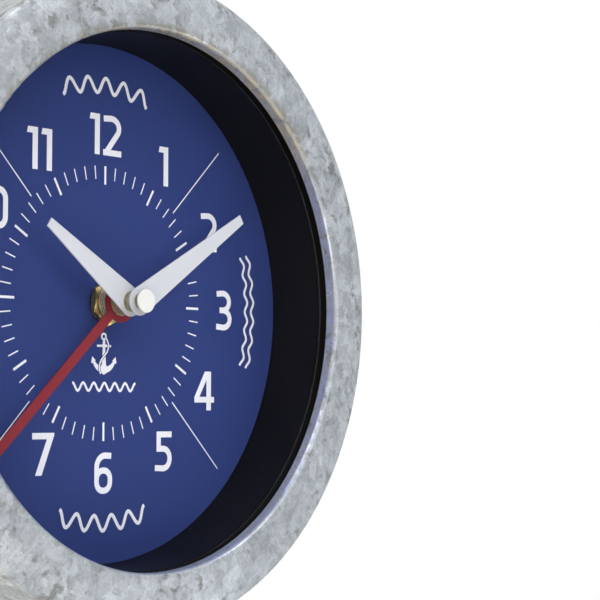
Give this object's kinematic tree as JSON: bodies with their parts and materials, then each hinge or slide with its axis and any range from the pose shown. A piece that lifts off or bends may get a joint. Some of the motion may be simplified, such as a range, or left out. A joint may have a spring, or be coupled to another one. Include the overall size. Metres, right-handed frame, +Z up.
{
  "type": "wall tide clock",
  "caption": "Round wall clock in a galvanised drum: deep black inner wall, flat glass, blue dial, geared minute, hour and tide hands, battery movement and keyhole hanger.",
  "frame": {"origin": "centre of the drum's flat back, in the plane of the wall, on the axis of the hands", "axes": "+Z up, +X to the reader's right, dial faces -Y and the wall is at +Y"},
  "size_m": [0.2184, 0.0537, 0.2184],
  "materials": {
    "galvanised_steel": "galvanised, satin",
    "black_moulding": "satin",
    "clear_glass": "polished",
    "black_rubber": "matt",
    "blue_dial": "matt",
    "white_paint": "satin",
    "red_paint": "satin",
    "white_cap": "gloss",
    "brass": "turned",
    "plated_steel": "zinc plated",
    "movement_plastic": "moulded",
    "gear_plastic": "moulded",
    "knob_plastic": "moulded",
    "copper_winding": "enamelled wire",
    "board": "varnished",
    "battery_jacket": "satin"
  },
  "bodies": {
    "case": {"bezel_ring": "galvanised_steel", "drum_case": "galvanised_steel", "hanger_plate": "plated_steel", "hanger_rivets": "plated_steel", "inner_wall_ring": "black_moulding", "lens": "clear_glass", "lens_gasket": "black_rubber", "dial_plate": "blue_dial", "dial_screws": "plated_steel", "gasket_washer": "black_rubber", "dial_washer": "black_rubber", "bush_nut": "brass", "center_bush": "brass", "movement_front_case": "movement_plastic", "movement_rear_case": "movement_plastic", "drive_module": "movement_plastic", "drive_coil": "copper_winding", "circuit_board": "board", "quartz_crystal": "plated_steel", "battery": "battery_jacket", "battery_contact_plus": "plated_steel", "battery_contact_minus": "plated_steel"},
    "minute_group": {"minute_hand": "white_paint", "minute_hand_bush": "brass", "hand_cap": "white_cap", "minute_arbor": "gear_plastic"},
    "hour_group": {"hour_hand": "white_paint", "hour_hand_bush": "brass", "hour_wheel": "gear_plastic"},
    "tide_group": {"tide_hand": "red_paint", "tide_hand_bush": "brass", "tide_wheel": "gear_plastic"},
    "motion_group": {"motion_wheel": "gear_plastic"},
    "transfer_group": {"tide_transfer_wheel": "gear_plastic"},
    "drive_group": {"drive_pinion": "gear_plastic"},
    "time_knob_group": {"time_setting_knob": "knob_plastic"},
    "tide_knob_group": {"tide_setting_knob": "knob_plastic"}
  },
  "joints": [
    {"name": "minute_turn", "type": "hinge", "parent": "case", "child": "minute_group", "pos_m": [0, -0.024, 0], "axis": [0, 1, 0], "continuous": true},
    {"name": "hour_turn", "type": "hinge", "parent": "case", "child": "hour_group", "pos_m": [0, -0.024, 0], "axis": [0, 1, 0], "continuous": true},
    {"name": "tide_turn", "type": "hinge", "parent": "case", "child": "tide_group", "pos_m": [0, -0.024, 0], "axis": [0, 1, 0], "continuous": true},
    {"name": "motion_turn", "type": "hinge", "parent": "case", "child": "motion_group", "pos_m": [-0.00779, -0.015, 0.0045], "axis": [0, 1, 0], "continuous": true},
    {"name": "transfer_turn", "type": "hinge", "parent": "case", "child": "transfer_group", "pos_m": [0.00838, -0.0185, 0.00484], "axis": [0, 1, 0], "continuous": true},
    {"name": "drive_turn", "type": "hinge", "parent": "case", "child": "drive_group", "pos_m": [0, -0.0125, -0.009], "axis": [0, 1, 0], "continuous": true},
    {"name": "time_knob_turn", "type": "hinge", "parent": "case", "child": "time_knob_group", "pos_m": [-0.01559, -0.005, 0.009], "axis": [0, 1, 0], "continuous": true},
    {"name": "tide_knob_turn", "type": "hinge", "parent": "case", "child": "tide_knob_group", "pos_m": [0.01456, -0.005, 0.00841], "axis": [0, 1, 0], "continuous": true}
  ],
  "couplings": [
    {"joint": "hour_turn", "follows": "minute_turn", "ratio": 0.083333},
    {"joint": "motion_turn", "follows": "minute_turn", "ratio": -0.33333},
    {"joint": "transfer_turn", "follows": "minute_turn", "ratio": -0.072464},
    {"joint": "tide_turn", "follows": "minute_turn", "ratio": 0.040258},
    {"joint": "tide_knob_turn", "follows": "minute_turn", "ratio": 0.067935},
    {"joint": "time_knob_turn", "follows": "minute_turn", "ratio": 1},
    {"joint": "drive_turn", "follows": "minute_turn", "ratio": -4}
  ]
}
